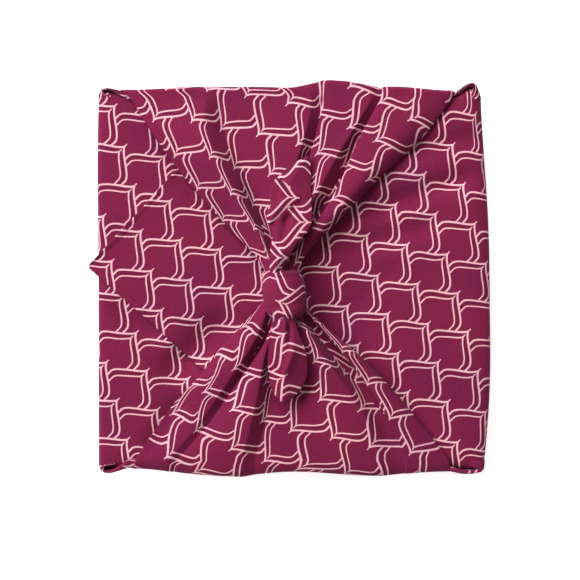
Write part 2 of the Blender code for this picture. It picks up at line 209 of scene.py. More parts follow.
for corner in FLAT_CORNERS:
    sign, top = corner["sign"], corner["top"]
    tip_x, tip_y = corner["tip"]
    side = corner["name"]
    shares = np.linspace(-1.0, 1.0, 17)
    foot = HALF - FOOT_IN
    rows = []
    outer_roll, middle_roll, inner_roll = corner["roll"]
    for x, z, step in ((-STARTS_IN, 0.8, 0), (-5.0, 0.4, 0), (0.0, 0.4, 0), (0.0, 6.0, 0),
                       (0.0, 22.0, 0), (0.0, 40.0, 0), (0.0, 54.0, 0), (0.0, top - 3.0 - outer_roll, 3),
                       (-1.0, top - middle_roll, 2), (-4.6, top - inner_roll, 1)):
        high = corner["corner_up"][step - 1] if step else foot
        low = -corner["corner_down"][step - 1] if step else -foot
        if step == 3:
            high, low = foot + 1.0, -foot - 1.0
        if step == 2:
            high, low = corner["corner_up"][2], -corner["corner_down"][2]
        y = low + (high - low) * (shares + 1) / 2
        y = np.concatenate(([low], y, [high]))
        belly = swell(side, y, z) * (1.0 if z > 5 else 0.0)
        rows.append(np.stack((sign * (HALF + x + belly), y, np.full_like(y, z)), axis=1))
    start = HALF - STARTS_IN
    for share in (0.0, 0.02, 0.04, 0.06, 0.085, 0.12, 0.18, 0.26, 0.36, 0.46, 0.54, 0.62, 0.70, 0.78,
                  0.86, 0.93, 1.0):
        x = sign * start + (tip_x - sign * start) * share
        to_wall = np.clip((x * sign - np.array(corner["widens"])) / 12.5, 0.0, 1.0)
        from_tip = abs(tip_x - x)
        widest_up = between(UNDER_WIDTH, corner["corner_up"][0], to_wall[0])
        widest_down = between(UNDER_WIDTH, corner["corner_down"][0], to_wall[1])
        high = min(widest_up, tip_y + 1.0 + corner["hem_up"] * from_tip)
        low = max(-widest_down, tip_y - 1.0 - corner["hem_down"] * from_tip)
        y = low + (high - low) * (shares + 1) / 2
        z = np.full_like(y, top)
        z += 0.7 * (np.abs(shares) > 0.99) * (high < widest_up)
        if high >= widest_up:
            y = np.concatenate(([low - 0.9], y, [high + 0.9]))
            z = np.concatenate(([top - SIDE_TURNED], z, [top - SIDE_TURNED]))
        else:
            inset = min(8.0, 0.4 * (high - low))
            y = np.concatenate(([low + inset], y, [high - inset]))
            z = np.concatenate(([top - 0.6], z, [top - 0.6]))
        droop = 1.6 * ease((abs(x) - HALF + 4) / 12) if x * sign < 0 else 0.0
        droop += corner["sinks"] * ease((x + 85.0) / 35.0)
        rows.append(np.stack((np.full_like(y, x), y, z - droop), axis=1))
    controls = np.array(rows)
    if sign < 0:
        controls = controls[:, ::-1]
    place = soft_sheet(controls, 4, 4)
    up_wall = run_along(place, 0)
    middle = up_wall[:, place.shape[1] // 2][:, None]
    from_base = np.broadcast_to(sign * (HALF - STARTS_IN + middle), up_wall.shape)
    flat = np.stack((from_base, place[..., 1]), axis=2)
    on_top = ease(middle / 70.0)
    across, up = pulled(place, corner["print_moved"])
    flat = turned_print(flat, across * on_top, up * on_top)
    lay_cloth("flat_corner_" + side, press_creases(place), flat)

# The gathered corners: the top and the bottom corner of the cloth come up their walls last, over
# the box's edge, and are pulled together in long pleats to the knot. Each row of a table is one
# line across, "out" from the middle of the box, with the pleats' edges and heights given.
FAN_TOP = 68.0  # they lie on both flat corners
CLOTH_CORNER = 495.0  # middle of the cloth to its corner
KNOT = (-4.3, -10.8)
TOP_ROWS = (
    dict(out=129, left=-113.1, ridge1=-58.0, valley1=-49.5, ridge2=15.5, valley2=23.0, ridge3=57.5,
         valley3=64.2, right=114.5, lifts=(0.6, 0.8, 0.6), dip=0.0,
         high1=3.6, high2=3.2, high3=3.0, high4=4.4),
    dict(out=112, left=-103.9, ridge1=-63.5, valley1=-49.5, ridge2=11.8, valley2=20.5, ridge3=47.5,
         valley3=54.5, right=103.4, lifts=(0.8, 1.0, 0.8), dip=0.0,
         high1=8.0, high2=5.6, high3=5.0, high4=6.6),
    dict(out=95, left=-92.5, ridge1=-57.0, valley1=-42.2, ridge2=7.4, valley2=15.5, ridge3=36.5,
         valley3=45.0, right=88.8, lifts=(1.0, 1.2, 1.0), dip=0.3,
         high1=10.6, high2=7.0, high3=7.0, high4=8.2),
    dict(out=78, left=-79.8, ridge1=-48.0, valley1=-33.0, ridge2=2.0, valley2=10.0, ridge3=27.0,
         valley3=38.8, right=68.8, lifts=(1.4, 1.6, 1.6), dip=0.8,
         high1=11.6, high2=7.0, high3=8.6, high4=9.2),
    dict(out=61, left=-66.5, ridge1=-38.0, valley1=-27.4, ridge2=-3.0, valley2=4.0, ridge3=17.6,
         valley3=30.6, right=51.8, lifts=(2.0, 2.6, 2.6), dip=1.6,
         high1=10.0, high2=6.6, high3=9.6, high4=9.6),
    dict(out=44, left=-50.7, ridge1=-28.6, valley1=-20.6, ridge2=-7.6, valley2=-2.4, ridge3=9.0,
         valley3=19.5, right=36.5, lifts=(3.0, 4.4, 4.4), dip=3.0,
         high1=9.0, high2=5.6, high3=9.0, high4=9.4),
    dict(out=30, left=-37.2, ridge1=-20.6, valley1=-15.6, ridge2=-10.0, valley2=-6.6, ridge3=2.0,
         valley3=9.4, right=21.6, lifts=(4.8, 6.8, 6.8), dip=3.4,
         high1=6.6, high2=4.0, high3=6.6, high4=7.2),
    dict(out=18, left=-25.2, ridge1=-15.6, valley1=-12.9, ridge2=-10.4, valley2=-8.2, ridge3=-2.4,
         valley3=1.6, right=9.9, lifts=(7.4, 9.6, 9.0), dip=2.0,
         high1=4.0, high2=2.4, high3=3.6, high4=4.0),
    dict(out=6, left=-17.4, ridge1=-12.8, valley1=-11.4, ridge2=-9.8, valley2=-8.4, ridge3=-5.0,
         valley3=-3.0, right=5.3, lifts=(10.0, 11.4, 10.6), dip=0.6,
         high1=2.0, high2=1.2, high3=1.6, high4=1.6),
    dict(out=-4, left=-14.0, ridge1=-10.8, valley1=-9.8, ridge2=-8.4, valley2=-7.2, ridge3=-4.2,
         valley3=-2.4, right=4.0, lifts=(10.5, 12.0, 11.0), dip=0.0,
         high1=1.0, high2=0.8, high3=0.8, high4=0.8),
)
BOTTOM_ROWS = (
    dict(out=129, left=-111.0, ridge1=-87.5, valley1=-81.5, ridge2=-35.5, valley2=-25.5, ridge3=64,
         valley3=81, ridge4=97, right=113.0, lifts=(0.4, 0.8, 0.4), dip=0.0,
         high1=1.4, high2=3.6, high3=1.6, high4=1.2),
    dict(out=117, left=-104.2, ridge1=-78.0, valley1=-71.0, ridge2=-32.5, valley2=-22.2, ridge3=60,
         valley3=77, ridge4=91, right=104.6, lifts=(0.6, 1.0, 0.6), dip=0.0,
         high1=2.2, high2=6.0, high3=3.4, high4=2.6),
    dict(out=102.8, left=-93.4, ridge1=-66.4, valley1=-58.0, ridge2=-29.0, valley2=-18.0, ridge3=55,
         valley3=71.5, ridge4=83, right=93.2, lifts=(0.8, 1.2, 0.8), dip=0.0,
         high1=2.6, high2=7.8, high3=6.0, high4=4.4),
    dict(out=85, left=-82.2, ridge1=-53.6, valley1=-46.4, ridge2=-24.4, valley2=-13.4, ridge3=45.5,
         valley3=61, ridge4=71.5, right=79.0, lifts=(1.1, 1.4, 1.0), dip=0.4,
         high1=3.6, high2=8.8, high3=8.6, high4=6.8),
    dict(out=67.4, left=-62.7, ridge1=-41.6, valley1=-33.8, ridge2=-21.6, valley2=-14.4, ridge3=32.5,
         valley3=48.2, ridge4=56.4, right=63.2, lifts=(1.6, 2.4, 1.6), dip=2.2,
         high1=4.6, high2=8.6, high3=11.6, high4=9.4),
    dict(out=49.6, left=-52.1, ridge1=-29.8, valley1=-21.8, ridge2=-17.6, valley2=-13.4, ridge3=20.0,
         valley3=34.0, ridge4=40.2, right=45.2, lifts=(2.8, 4.6, 2.8), dip=4.8,
         high1=5.6, high2=6.6, high3=12.6, high4=11.2),
    dict(out=39, left=-41.0, ridge1=-23.6, valley1=-16.2, ridge2=-13.4, valley2=-10.6, ridge3=13.2,
         valley3=24.2, ridge4=28.8, right=32.2, lifts=(4.8, 7.0, 5.0), dip=6.6,
         high1=5.6, high2=4.6, high3=10.6, high4=10.0),
    dict(out=29.8, left=-32.5, ridge1=-19.6, valley1=-14.0, ridge2=-11.6, valley2=-9.4, ridge3=8.6,
         valley3=15.6, ridge4=18.4, right=20.6, lifts=(8.0, 9.2, 8.4), dip=7.0,
         high1=4.4, high2=2.8, high3=6.2, high4=5.4),
    dict(out=19.9, left=-23.0, ridge1=-17.0, valley1=-13.0, ridge2=-11.2, valley2=-9.4, ridge3=3.0,
         valley3=6.8, ridge4=8.8, right=11.0, lifts=(9.8, 10.6, 10.0), dip=3.0,
         high1=2.6, high2=1.4, high3=2.6, high4=2.0),
    dict(out=9, left=-15.0, ridge1=-12.0, valley1=-10.6, ridge2=-9.2, valley2=-8.0, ridge3=-1.0,
         valley3=0.8, ridge4=2.4, right=4.4, lifts=(10.6, 11.6, 10.6), dip=0.0,
         high1=0.9, high2=0.6, high3=0.7, high4=0.6),
)


def line_across(out, left, right, lifts, knots):
    """Control points across one row: place and height over the box of each fold, as listed."""
    x = np.array([k[0] for k in knots], float)
    bend = 2 * (x - left) / (right - left) - 1
    base = lifts[1] + bend * (lifts[2] - lifts[0]) / 2
    base += bend ** 2 * ((lifts[0] + lifts[2]) / 2 - lifts[1])
    z = FAN_TOP + base + np.array([k[1] for k in knots], float)
    return np.stack((x, np.full_like(x, out), z), axis=1)


TURNED = 28.0  # how much of the cloth lies turned under at the sides


def slope_to(ridge, valley, high, dip, taken=1.0):
    """Control points of a pleat's crest and its far side, which takes this share of the way down."""
    return ((ridge - 1.2, 1.03 * high), (ridge + 0.6, 1.06 * high),
            (between(ridge, valley, 0.22 * taken), 0.86 * high),
            (between(ridge, valley, 0.55 * taken), 0.44 * high - 0.3 * dip),
            (between(ridge, valley, 0.88 * taken), 0.04 * high - dip), (valley, -0.06 * high - dip))


def rolled_edge(valley, high, dip):
    """Control points where the next pleat's edge stands up out of the valley."""
    return ((valley + 0.5 + 0.8 * dip, -dip), (valley + 0.4 + 0.6 * dip, 0.26 * high - 0.5 * dip),
            (valley + 0.2, 0.62 * high), (valley + 1.5, 0.80 * high))


def side_under(edge, inwards, high):
    """Control points at a side, where the cloth is turned under, from the hidden end out."""
    return ((edge + inwards, -1.0), (edge + math.copysign(3.0, inwards), -0.8),
            (edge - math.copysign(0.2, inwards), 0.0), (edge + math.copysign(0.4, inwards), high))


def top_row(r):
    left, right, dip = r["left"], r["right"], r["dip"]
    h1, h2, h3, h4 = r["high1"], r["high2"], r["high3"], r["high4"]
    turned = min(TURNED, 0.45 * (right - left))
    return line_across(r["out"], left, right, r["lifts"], (
        *side_under(left, turned, 0.14 * h1),
        (between(left, r["ridge1"], 0.25), 0.42 * h1), (between(left, r["ridge1"], 0.72), 0.80 * h1),
        *slope_to(r["ridge1"], r["valley1"], h1, dip), (r["valley1"] + 1.6, 0.06 * h1 - 0.7 * dip),
        (between(r["valley1"], r["ridge2"], 0.3), 0.34 * h2),
        (between(r["valley1"], r["ridge2"], 0.65), 0.70 * h2),
        *slope_to(r["ridge2"], r["valley2"], h2, dip), *rolled_edge(r["valley2"], h2, dip),
        (between(r["valley2"], r["ridge3"], 0.55), 0.88 * h3),
        *slope_to(r["ridge3"], r["valley3"], h3, dip), *rolled_edge(r["valley3"], h4, dip),
        (between(r["valley3"], right, 0.30), 0.94 * h4), (between(r["valley3"], right, 0.58), 1.04 * h4),
        (between(r["valley3"], right, 0.84), 0.66 * h4), (right + 0.2, 0.16 * h4),
        *side_under(right, -turned, 0.05 * h4)[2::-1],
    ))


def bottom_row(r):
    left, right, dip = r["left"], r["right"], r["dip"]
    h1, h2, h3, h4 = r["high1"], r["high2"], r["high3"], r["high4"]
    turned = min(TURNED, 0.45 * (right - left))
    return line_across(r["out"], left, right, r["lifts"], (
        *side_under(left, turned, 0.6),
        (between(left, r["ridge1"], 0.36), 0.58 * h1), (between(left, r["ridge1"], 0.76), 0.96 * h1),
        *slope_to(r["ridge1"], r["valley1"], h1, 0.4 * dip),
        *rolled_edge(r["valley1"], 0.8 * h1, 0.4 * dip),
        (between(r["valley1"], r["ridge2"], 0.55), 0.92 * h2),
        *slope_to(r["ridge2"], r["valley2"], h2, dip), (r["valley2"] + 1.4, 0.05 * h2 - 0.8 * dip),
        (between(r["valley2"], r["ridge3"], 0.3), 0.10 * h3 - 0.5 * dip),
        (between(r["valley2"], r["ridge3"], 0.65), 0.44 * h3 - 0.3 * dip),
        (between(r["valley2"], r["ridge3"], 0.86), 0.86 * h3),
        *slope_to(r["ridge3"], r["valley3"], h3, dip, 0.7), *rolled_edge(r["valley3"], h4, dip),
        (between(r["valley3"], r["ridge4"], 0.9), 1.05 * h4),
        (between(r["ridge4"], right, 0.55), 0.98 * h4), (right + 0.2, 0.45 * h4),
        *side_under(right, -turned, 0.05 * h4)[2::-1],
    ))


# Where the gathered cloth lies on the flat cloth, as a fan from the cloth's corner. "swung" is the
# degrees its sides stand from the corner's middle line, near the wall and near the knot. "pulled"
# gives, for a share of the width, how many degrees more near the knot and far from it, and
# "edge_swung" how many more the left side has close to the knot. "behind_knot" is how much cloth is
# used up there, by the direction from the knot, and "print_moved" shifts the print. "edge_held"
# keeps the left side over its foot, "roll" is how far the edge over the wall is rolled, and
# "steady" names the control columns past which each keeps one share of the width all the way in.
GATHERED = (
    dict(name="top", sign=1, rows=TOP_ROWS, line=top_row, edge_held=0.62, roll=0.0, steady=None,
         swung=((-22.2, 22.6), (-25.0, 21.5)), edge_swung=0.0,
         behind_knot=((-40, 145.0), (0, 145.0), (20, 145.5), (42, 148.5)), print_moved=(0.0, 0.0),
         pulled=((0.0, 0.0, 0.0), (0.15, -0.8, -0.8), (0.25, 1.9, -0.3), (0.38, 1.5, 0.7),
                 (0.49, 2.0, 0.6), (0.58, 2.6, 1.8), (0.68, 5.2, 1.9), (0.82, 3.8, 1.8),
                 (0.90, 3.0, 2.2), (1.0, 1.0, 0.4))),
    dict(name="bottom", sign=-1, rows=BOTTOM_ROWS, line=bottom_row, edge_held=0.0, roll=3.4,
         steady=(27, 33),
         swung=((-20.0, 19.6), (-27.0, 22.0)), edge_swung=6.4,
         behind_knot=((-56, 166.5), (-50, 168.8), (-44, 168.8), (-36, 167.6), (0, 168.0), (17, 167.0),
                      (30, 160.4), (42, 153.4)),
         print_moved=(12.1, 2.3),
         pulled=((0.0, -1.1, 0.1), (0.09, 1.3, -2.4), (0.15, 2.9, -2.4), (0.21, -0.1, -2.0),
                 (0.25, -0.6, -1.7), (0.28, -1.2, -1.5), (0.40, -0.4, -0.7), (0.50, 1.7, 0.8),
                 (0.62, 2.5, 0.4), (0.76, 1.3, 2.1), (0.87, 2.4, 1.5), (1.0, 1.8, 1.5))),
)
EDGE_TOP = 68.6  # where it turns over the box's edge
FOOT_ROWS = ((-11.5, 0.1), (-3.5, 0.1), (0.9, 0.3), (0.9, 6.0), (0.9, 22.0), (0.9, 40.0),
             (0.9, 54.0), (0.9, 62.5), (0.7, EDGE_TOP), (-3.4, EDGE_TOP))
RETURNS = 2  # control columns turned under at each side
STEPS = 3  # points of the sheet to each control row and column
WALL_Y = 129.0  # the fan begins so far out
FAR_Y = 130.0  # "pulled" has its far values here
NEAR_Y = 70.0  # and its near values here and further in
EDGE_SHARE = 0.22  # "edge_swung" fades out over this share of the width
EDGE_GROWS = 38.0  # and is full so much further in than NEAR_Y
feet = {}
for corner in GATHERED:
    sign, side, table = corner["sign"], corner["name"], corner["rows"]
    fan = [corner["line"](row) for row in table]
    first = fan[0]
    count = len(first)
    inner = np.linspace(-1, 1, count - 2 * RETURNS) * (HALF - FOOT_IN)
    foot_x = np.concatenate(([inner[0] + TURNED, inner[0] + 3], inner, [inner[-1] - 3, inner[-1] - TURNED]))
    behind = np.zeros(count)
    behind[:RETURNS] = behind[-RETURNS:] = 0.8
    rows = []
    for out, height in FOOT_ROWS:
        on_wall = height > 5
        on_edge = height > 65
        share = ease(height / 60.0) * 0.35 + 0.65 * height / EDGE_TOP
        held = corner["edge_held"] * (1.0 if out > 0 else 0.5) * ease(height / 60.0)
        held = held * np.linspace(1.0, 0.0, count) ** 2
        x = between(foot_x, first[:, 0], np.minimum(1.0, share) * (1.0 - held))
        raised = (first[:, 2] - FAN_TOP) * ease(height / EDGE_TOP) ** 2
        y = HALF + out + swell(side, x, height) * on_wall + 0.28 * raised * (height > 20)
        y -= behind * on_wall
        z = np.full(count, height) + (raised if on_edge else 0.0)
        if on_edge:
            z = z - behind
            z -= 0.6 + corner["roll"] * (1.0 if out > 0 else 0.3)
        else:
            z = z + behind * (height < 5)
        rows.append(np.stack((x, y, z), axis=1))
    controls = np.array(rows + fan)
    controls[..., 1] *= sign
    place = soft_sheet(controls, STEPS, STEPS)

    left_edge, right_edge = RETURNS * STEPS, place.shape[1] - 1 - RETURNS * STEPS
    across = run_along(place, 1)
    start, width = across[:, left_edge][:, None], (across[:, right_edge] - across[:, left_edge])[:, None]
    share = (across - start) / width
    edge_row = len(FOOT_ROWS) * STEPS
    if corner["steady"]:
        steady_from, steady_to = corner["steady"]
        lane = np.arange(place.shape[1]) / STEPS
        outer_rows = slice(edge_row, edge_row + 6 * STEPS)
        steady = ease((lane - steady_from) / (steady_to - steady_from))[None]
        steady = steady * ease((122.0 - sign * place[..., 1]) / 40.0)
        share = between(share, share[outer_rows].mean(axis=0)[None], steady)
    from_knot = np.hypot(place[..., 0] - KNOT[0], place[..., 1] - KNOT[1])
    aside = np.degrees(np.arctan2(place[..., 0] - KNOT[0], sign * (place[..., 1] - KNOT[1])))
    inwards = np.clip((WALL_Y - sign * place[..., 1]) / 110.0, 0.0, 1.0)
    (far_left, far_right), (near_left, near_right) = corner["swung"]
    low = between(far_left, near_left, inwards)
    high = between(far_right, near_right, inwards)
    swing = low + (high - low) * np.clip(share, 0.0, 1.0)
    shares, near, far = zip(*corner["pulled"])
    swing += between(np.interp(share, shares, near), np.interp(share, shares, far),
                     np.clip((sign * place[..., 1] - NEAR_Y) / (FAR_Y - NEAR_Y), 0.0, 1.0))
    close_in = ease((NEAR_Y - sign * place[..., 1]) / EDGE_GROWS)
    swing += corner["edge_swung"] * close_in * hill(share, EDGE_SHARE)
    beyond = (share - np.clip(share, 0.0, 1.0)) * width
    angles = [row[0] for row in corner["behind_knot"]]
    lengths = [row[1] for row in corner["behind_knot"]]
    reach = from_knot + np.interp(aside, angles, lengths)
    turn = np.radians(swing) + beyond / reach
    fan_flat = np.stack((reach * np.sin(turn), sign * (CLOTH_CORNER - reach * np.cos(turn))), axis=2)

    down = run_along(place, 0)
    walk = np.clip(down[:edge_row] / down[edge_row], 0, 1)[..., None]
    foot_flat = np.stack((place[0, :, 0], place[0, :, 1]), axis=1)[None]
    flat = turned_print(fan_flat, *corner["print_moved"])
    flat[:edge_row] = foot_flat + (flat[edge_row][None] - foot_flat) * walk
    press_creases(place)
    feet[side] = (place[0], flat[0])
    if sign > 0:
        place, flat = place[:, ::-1], flat[:, ::-1]
    lay_cloth("gathered_corner_" + side, place, flat)

# The base: the middle of the cloth, flat under the box between the feet of the gathered corners.
(near_place, near_flat), (far_place, far_flat) = feet["bottom"], feet["top"]
steps = np.linspace(0.0, 1.0, 13)[:, None, None]
base = near_place[None] + (far_place - near_place)[None] * steps
base_flat = near_flat[None] + (far_flat - near_flat)[None] * steps
RETURNED = RETURNS * STEPS
BASE_HALF = 131.0  # it is drawn out sideways to here
base, base_flat = base[:, RETURNED:-RETURNED], base_flat[:, RETURNED:-RETURNED]
base[..., 0] *= BASE_HALF / (HALF - FOOT_IN)
lay_cloth("base", base[:, ::-1], base_flat[:, ::-1])

# The ears: at each upright corner a side wall's cloth runs on round the corner behind the gathered
# cloth. Its rim stands free beside the flat corner and leans out, which leaves a small pocket.

# "rim" is how wide the turned-in rim is at the pocket and where the gathered cloth covers it, and
# "sunk" how far it then lies below its height at the pocket.
EARS = (
    dict(corner=(1, 1), arc=6.5, along=-7.5, reach=12.0, out=(0.4, 5.2), rise=3.5,
         rim=(1.2, 3.0), inside=(3.4, 4.0), sunk=0.0),
    dict(corner=(-1, 1), arc=4.0, along=6.0, reach=13.0, out=(-0.4, 1.6), rise=1.2,
         rim=(1.3, 5.4), inside=(1.9, 8.0), sunk=0.0),
    dict(corner=(-1, -1), arc=3.5, along=7.5, reach=14.0, out=(0.3, -2.2), rise=1.0,
         rim=(1.8, 5.6), inside=(2.4, 9.0), sunk=2.2),
    dict(corner=(1, -1), arc=1.8, along=-11.0, reach=19.0, out=(0.0, -2.4), rise=1.2,
         rim=(2.2, 2.8), inside=(2.7, 9.0), sunk=2.2),
)
for ear in EARS:
    sx, sy = ear["corner"]
    top = SECOND_TOP if sx > 0 else FIRST_TOP
    arc = ear["arc"]
    outline = [dict(at=(HALF, HALF - FOOT_IN), way=(1.0, 0.0), turned=0.0, past=0.0)]
    for step in range(6):
        angle = step / 5 * math.pi / 2
        nx, ny = math.cos(angle), math.sin(angle)
        outline.append(dict(at=(HALF - arc + arc * nx, HALF - arc + arc * ny), way=(nx, ny),
                            turned=step / 5, past=0.0))
    outline += [dict(at=(HALF - arc - step, HALF), way=(0.0, 1.0), turned=1.0, past=step)
                for step in (3, 6, 10, 14, 18, 23, 30, 40, 55, 70)]
    columns = []
    for place_at in outline:
        (x, y), (nx, ny) = place_at["at"], place_at["way"]
        upright = ease(place_at["turned"] / 0.9)
        wider = ease((place_at["past"] - 4.0) / 12.0)
        column = [(-8.0, 0.8), (-1.5, 0.5), (0.0, 6.0), (0.0, 22.0), (0.0, 40.0), (0.0, 54.0),
                  (0.0, top - 6.5)]
        rolled = [(-0.5, top - 1.6), (-5.0, top - 0.8), (-9.0, top - 0.9), (-12.0, top - 1.3)]
        rim, (inside, down) = between(*ear["rim"], wider), ear["inside"]
        standing = [(0.0, top - 1.6), (-0.3, top + 0.3 + 0.3 * wider), (-rim, top - 0.2 + 0.9 * wider),
                    (-between(inside, rim + 0.8, wider), top - between(down, -0.4, wider))]
        sunk = ear["sunk"] * ease((place_at["past"] - 15.0) / 8.0)
        column += [(between(a, c, upright), between(b, d, upright) - sunk)
                   for (a, b), (c, d) in zip(rolled, standing)]
        points = []
        for inset, z in column:
            px, py = x + nx * inset, y + ny * inset
            px += nx * swell("right" if sx > 0 else "left", sy * y, z)
            py += ny * min(0.0, swell("top" if sy > 0 else "bottom", sx * x, z))
            share = hill(math.hypot(x - HALF - ear["along"] * sx, y - HALF), ear["reach"])
            share *= ease(z / 65.5) ** 3 * upright
            points.append((sx * px + ear["out"][0] * share, sy * py + ear["out"][1] * share,
                           z + ear["rise"] * share))
        columns.append(points)
    controls = np.swapaxes(np.array(columns), 0, 1)
    if sx * sy < 0:
        controls = controls[:, ::-1]
    place = soft_sheet(controls, 3, 3)
    walked = run_along(place, 1)
    if sx * sy < 0:
        walked = walked[:, -1][:, None] - walked
    flat = np.stack((sx * (HALF - STARTS_IN + run_along(place, 0)), sy * (HALF - FOOT_IN + walked)),
                    axis=2)
    lay_cloth("ear", place, flat)

# The knot: both gathered ends run into a core of crushed cloth, and one end is wound over it as a
# plump band, slanting from upper right to lower left.
KNOT_MIDDLE = np.array((-4.3, -10.8, 80.4))
CORE = (11.4, 17.5, 8.6)  # half its width, length and height
PRINT_START = (150.8, 185.4)  # where a scale's point lies on the flat cloth, in and across the rows


def print_laid(across, up, point, points_to):
    """Flat places that lay the print with a scale's point at one place, pointing so many degrees."""
    turn = math.radians(points_to)
    x, y = across - point[0], up - point[1]
    rows_up = PRINT_START[1] + x * math.cos(turn) + y * math.sin(turn)
    in_row = PRINT_START[0] - x * math.sin(turn) + y * math.cos(turn)
    return np.stack(((in_row - rows_up) / math.sqrt(2), (in_row + rows_up) / math.sqrt(2)), axis=2)


around = np.linspace(0, 2 * math.pi, 41)
along = np.linspace(-1, 1, 25)
bow = np.sqrt(np.clip(1 - along ** 2, 0.02, 1))[:, None]
ruck = 1 + 0.07 * np.cos(5 * around + 2.0 * along[:, None]) + 0.04 * np.cos(9 * around - 1.0)
place = np.stack((CORE[0] * bow * ruck * np.cos(around),
                  np.broadcast_to(-CORE[1] * along[:, None], ruck.shape),
                  CORE[2] * bow * ruck * np.sin(around)), axis=2) + KNOT_MIDDLE
lay_cloth("knot_core", place, print_laid(place[..., 0], 1.6 * place[..., 1], (-6.0, 4.0), 40.0))

# Across the band, from its lower side up: half the loop's width and height and where it lies
BAND = (
    dict(y=-17.4, half=7.0, high=6.4, x=2.0),
    dict(y=-16.6, half=9.4, high=9.4, x=1.8),
    dict(y=-13.6, half=12.0, high=11.2, x=1.0),
    dict(y=-9.6, half=13.9, high=11.6, x=0.4),
    dict(y=-7.6, half=14.1, high=10.5, x=0.2),
    dict(y=-5.4, half=14.6, high=11.9, x=0.2),
    dict(y=0.4, half=15.1, high=12.4, x=0.0),
    dict(y=7.0, half=14.9, high=12.2, x=0.0),
    dict(y=11.0, half=14.1, high=11.5, x=-0.2),
    dict(y=12.8, half=13.4, high=10.0, x=-0.2),
    dict(y=14.4, half=13.2, high=10.8, x=-0.4),
    dict(y=16.2, half=12.2, high=10.0, x=-0.6),
    dict(y=17.4, half=9.6, high=6.8, x=-0.8),
    dict(y=17.6, half=8.0, high=4.6, x=-0.8),
)
BAND_TURN = math.radians(-7)
BAND_ENDS = (236, -56)  # degrees round the core
rows = []
for angle in np.radians(np.linspace(*BAND_ENDS, 21)):
    rows.append([(r["x"] + r["half"] * math.cos(angle), r["y"] * (1 - 0.07 * math.cos(angle - 0.5)),
                  r["high"] * math.sin(angle)) for r in BAND])
place = soft_sheet(np.array(rows), 3, 3)
x, y, z = place[..., 0], place[..., 1], place[..., 2]
band_from, band_to = (math.radians(end) for end in BAND_ENDS)
wound = -15.0 * (np.linspace(band_from, band_to, len(place))[:, None] - math.pi / 2)
place = np.stack((x * math.cos(BAND_TURN) + y * math.sin(BAND_TURN),
                  y * math.cos(BAND_TURN) - x * math.sin(BAND_TURN), z), axis=2) + KNOT_MIDDLE
lay_cloth("knot_band", place, print_laid(np.broadcast_to(wound, y.shape), y, (-7.2, -2.6), 154.0))

